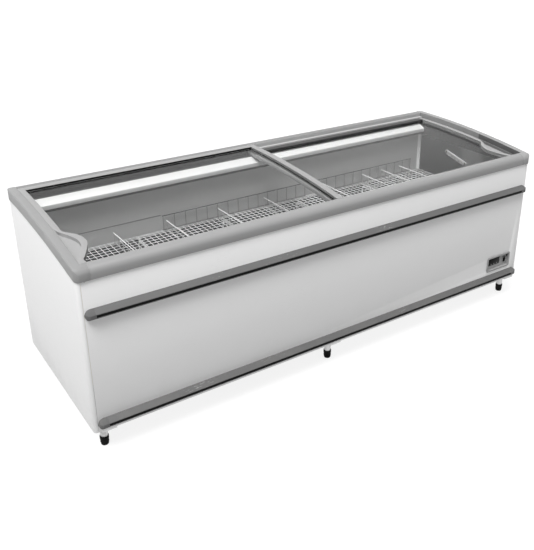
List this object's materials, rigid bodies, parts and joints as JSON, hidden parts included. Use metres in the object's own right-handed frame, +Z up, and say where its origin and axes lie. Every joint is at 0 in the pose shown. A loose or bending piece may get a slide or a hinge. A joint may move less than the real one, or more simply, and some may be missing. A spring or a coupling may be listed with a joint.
{
  "type": "chest freezer",
  "caption": "Long shop chest freezer with an arched top, two sliding curved glass lids, wire dividers on a raised deck, bumpers all along the front and levelling feet",
  "frame": {"origin": "on the floor under the middle of the cabinet's plan", "axes": "+X along the cabinet's length to the customer's right, +Y from the customer's side to the back, +Z up"},
  "size_m": [2.5, 0.8785, 0.89],
  "materials": {
    "white_enamel": "smooth white enamel on sheet steel, light scuffs",
    "black_paint": "satin black enamel, compressor shell",
    "galvanised": "galvanised sheet, fine spangle",
    "grey_rim": "grey moulded and extruded plastic, satin",
    "dark_rim": "darker grey plastic profile, satin",
    "track_plastic": "dark grey low-friction plastic",
    "liner_sheet": "pale pre-painted aluminium sheet",
    "foam": "rigid polyurethane foam, pale yellow",
    "copper": "bare copper tube, slightly dulled",
    "bumper_grey": "grey bumper profile, matt",
    "black_rubber": "black rubber, matt",
    "panel_grey": "light grey moulded plastic",
    "display_black": "black glossy controller face",
    "black_plastic": "black moulded plastic",
    "button_grey": "grey key cap",
    "lamp_shell": "white anodised extrusion",
    "lamp_cover": "opal acrylic, back lit",
    "led_board": "white circuit strip with light sources",
    "white_wire": "white plastic-coated steel wire",
    "white_plastic": "white moulded plastic",
    "motor_grey": "cast aluminium motor body",
    "fin_metal": "thin plain aluminium fins",
    "lid_frame": "grey lid frame profile, satin",
    "lid_end": "grey moulded lid end with grip",
    "lid_glass": "clear curved safety glass, 4 mm",
    "seal_grey": "black brush seal and slide pads",
    "zinc": "zinc-plated steel"
  },
  "bodies": {
    "cabinet": {"side_panels": "white_enamel", "front_panel": "white_enamel", "rear_panel": "white_enamel", "base_tray": "galvanised", "underframe": "galvanised", "leg_sockets": "zinc", "front_rim": "grey_rim", "rear_rim": "dark_rim", "side_rims": "grey_rim", "inner_liner": "liner_sheet", "insulation_foam": "foam", "throat_strips": "track_plastic", "lid_tracks": "track_plastic", "evaporator_coil": "copper", "drain_pipe": "white_plastic", "bumper_rails": "bumper_grey", "bumper_inserts": "black_rubber", "bumper_end_caps": "bumper_grey", "control_bezel": "panel_grey", "temperature_controller": "display_black", "switch_housing": "panel_grey", "lamp_housing": "lamp_shell", "lamp_diffuser": "lamp_cover", "led_strip": "led_board", "lamp_end_caps": "white_plastic", "screws": "zinc", "deck_grids": "white_wire", "deck_trestles": "white_wire", "rear_fences": "white_wire", "wire_dividers": "white_wire", "thermometer": "white_plastic", "compressor": "black_paint", "compressor_mounts": "black_rubber", "condenser_coil": "copper", "condenser_fins": "fin_metal", "fan_shroud": "black_plastic", "fan_motor": "motor_grey", "refrigerant_pipes": "copper", "power_inlet": "black_plastic", "rear_vent_grille": "black_plastic"},
    "left_lid": {"left_lid_grip_end": "lid_end", "left_lid_frame": "lid_frame", "left_lid_glass": "lid_glass", "left_lid_seal_and_glides": "seal_grey"},
    "right_lid": {"right_lid_grip_end": "lid_end", "right_lid_frame": "lid_frame", "right_lid_glass": "lid_glass", "right_lid_seal_and_glides": "seal_grey"},
    "rocker": {"lamp_switch_rocker": "black_plastic"},
    "fan": {"condenser_fan": "black_plastic"},
    "key_down": {"button_down": "button_grey"},
    "key_set": {"button_set": "button_grey"},
    "key_up": {"button_up": "button_grey"},
    "plug": {"drain_plug": "black_rubber"},
    "foot_1": {"levelling_foot_1": "black_rubber"},
    "foot_2": {"levelling_foot_2": "black_rubber"},
    "foot_3": {"levelling_foot_3": "black_rubber"},
    "foot_4": {"levelling_foot_4": "black_rubber"},
    "foot_5": {"levelling_foot_5": "black_rubber"},
    "foot_6": {"levelling_foot_6": "black_rubber"}
  },
  "joints": [
    {"name": "left_lid_slide", "type": "slide", "parent": "cabinet", "child": "left_lid", "axis": [1, 0, 0], "range_m": [0, 1.2]},
    {"name": "right_lid_slide", "type": "slide", "parent": "cabinet", "child": "right_lid", "axis": [-1, 0, 0], "range_m": [0, 1.175]},
    {"name": "lamp_switch", "type": "hinge", "parent": "cabinet", "child": "rocker", "pos_m": [1.149, -0.4085, 0.231], "axis": [1, 0, 0], "range_deg": [-16, 0]},
    {"name": "fan_spin", "type": "hinge", "parent": "cabinet", "child": "fan", "pos_m": [0.79, 0.2505, 0.215], "axis": [0, 1, 0], "continuous": true},
    {"name": "key_down_press", "type": "slide", "parent": "cabinet", "child": "key_down", "axis": [0, 1, 0], "range_m": [0, 0.001], "stiffness_N_per_m": 250},
    {"name": "key_set_press", "type": "slide", "parent": "cabinet", "child": "key_set", "axis": [0, 1, 0], "range_m": [0, 0.001], "stiffness_N_per_m": 250},
    {"name": "key_up_press", "type": "slide", "parent": "cabinet", "child": "key_up", "axis": [0, 1, 0], "range_m": [0, 0.001], "stiffness_N_per_m": 250},
    {"name": "drain_plug_lift", "type": "slide", "parent": "cabinet", "child": "plug", "axis": [0, 0, 1], "range_m": [0, 0.06]},
    {"name": "foot_1_turn", "type": "hinge", "parent": "cabinet", "child": "foot_1", "pos_m": [-1.195, -0.366, 0.026], "axis": [0, 0, 1], "continuous": true},
    {"name": "foot_2_turn", "type": "hinge", "parent": "cabinet", "child": "foot_2", "pos_m": [-0.05, -0.366, 0.026], "axis": [0, 0, 1], "continuous": true},
    {"name": "foot_3_turn", "type": "hinge", "parent": "cabinet", "child": "foot_3", "pos_m": [1.195, -0.366, 0.026], "axis": [0, 0, 1], "continuous": true},
    {"name": "foot_4_turn", "type": "hinge", "parent": "cabinet", "child": "foot_4", "pos_m": [-1.195, 0.366, 0.026], "axis": [0, 0, 1], "continuous": true},
    {"name": "foot_5_turn", "type": "hinge", "parent": "cabinet", "child": "foot_5", "pos_m": [-0.05, 0.366, 0.026], "axis": [0, 0, 1], "continuous": true},
    {"name": "foot_6_turn", "type": "hinge", "parent": "cabinet", "child": "foot_6", "pos_m": [1.195, 0.366, 0.026], "axis": [0, 0, 1], "continuous": true}
  ]
}
